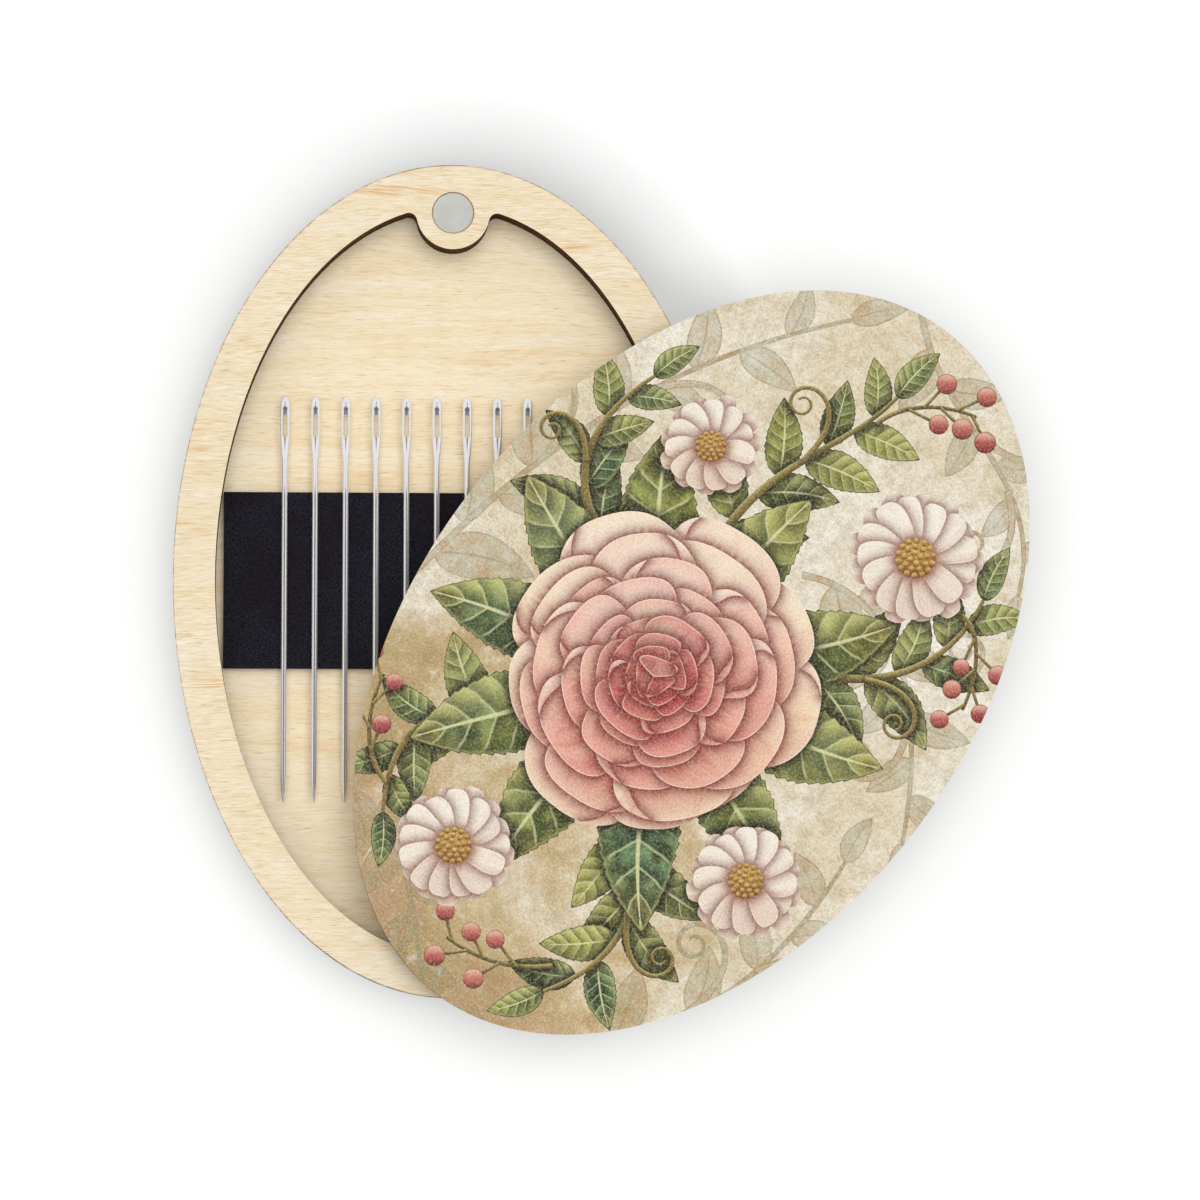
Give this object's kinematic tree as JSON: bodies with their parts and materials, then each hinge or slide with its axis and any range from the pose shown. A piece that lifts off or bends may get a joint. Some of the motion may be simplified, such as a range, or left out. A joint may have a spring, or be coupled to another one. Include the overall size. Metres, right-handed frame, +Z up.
{
  "type": "needle case",
  "caption": "Flat oval wooden needle case: a lid that swivels sideways on a hidden pin, a disc magnet catch, and needles lying on a magnetic strip in its pocket.",
  "frame": {"origin": "centre of the oval underside of the base", "axes": "+Z up, through the boards; +Y along the case's long axis, to the end with the magnet; +X to the side where the lid swings out"},
  "size_m": [0.1024, 0.1043, 0.0103],
  "materials": {
    "case_wood": "bare sanded pale plywood",
    "lid_wood": "bare sanded pale plywood",
    "print": "satin printed film",
    "magnet": "satin nickel plate",
    "strip": "matte black magnetic sheet",
    "tape": "double-sided tape",
    "pin_steel": "turned steel",
    "needle_steel": "polished steel"
  },
  "bodies": {
    "base": {"bottom_plate": "case_wood", "case_frame": "case_wood", "frame_magnet": "magnet", "magnetic_strip": "strip", "strip_adhesive": "tape", "needle_01": "needle_steel", "needle_02": "needle_steel", "needle_03": "needle_steel", "needle_04": "needle_steel", "needle_05": "needle_steel", "needle_06": "needle_steel", "needle_07": "needle_steel", "needle_08": "needle_steel", "needle_09": "needle_steel", "needle_10": "needle_steel", "needle_11": "needle_steel", "needle_12": "needle_steel"},
    "lid": {"lid_board": "lid_wood", "lid_print": "print", "lid_magnet": "magnet", "pivot_pin": "pin_steel"}
  },
  "joints": [
    {"name": "lid_swivel", "type": "hinge", "parent": "base", "child": "lid", "pos_m": [0, -0.0468, 0], "axis": [0, 0, 1], "range_deg": [-142.2, 37.8]}
  ]
}
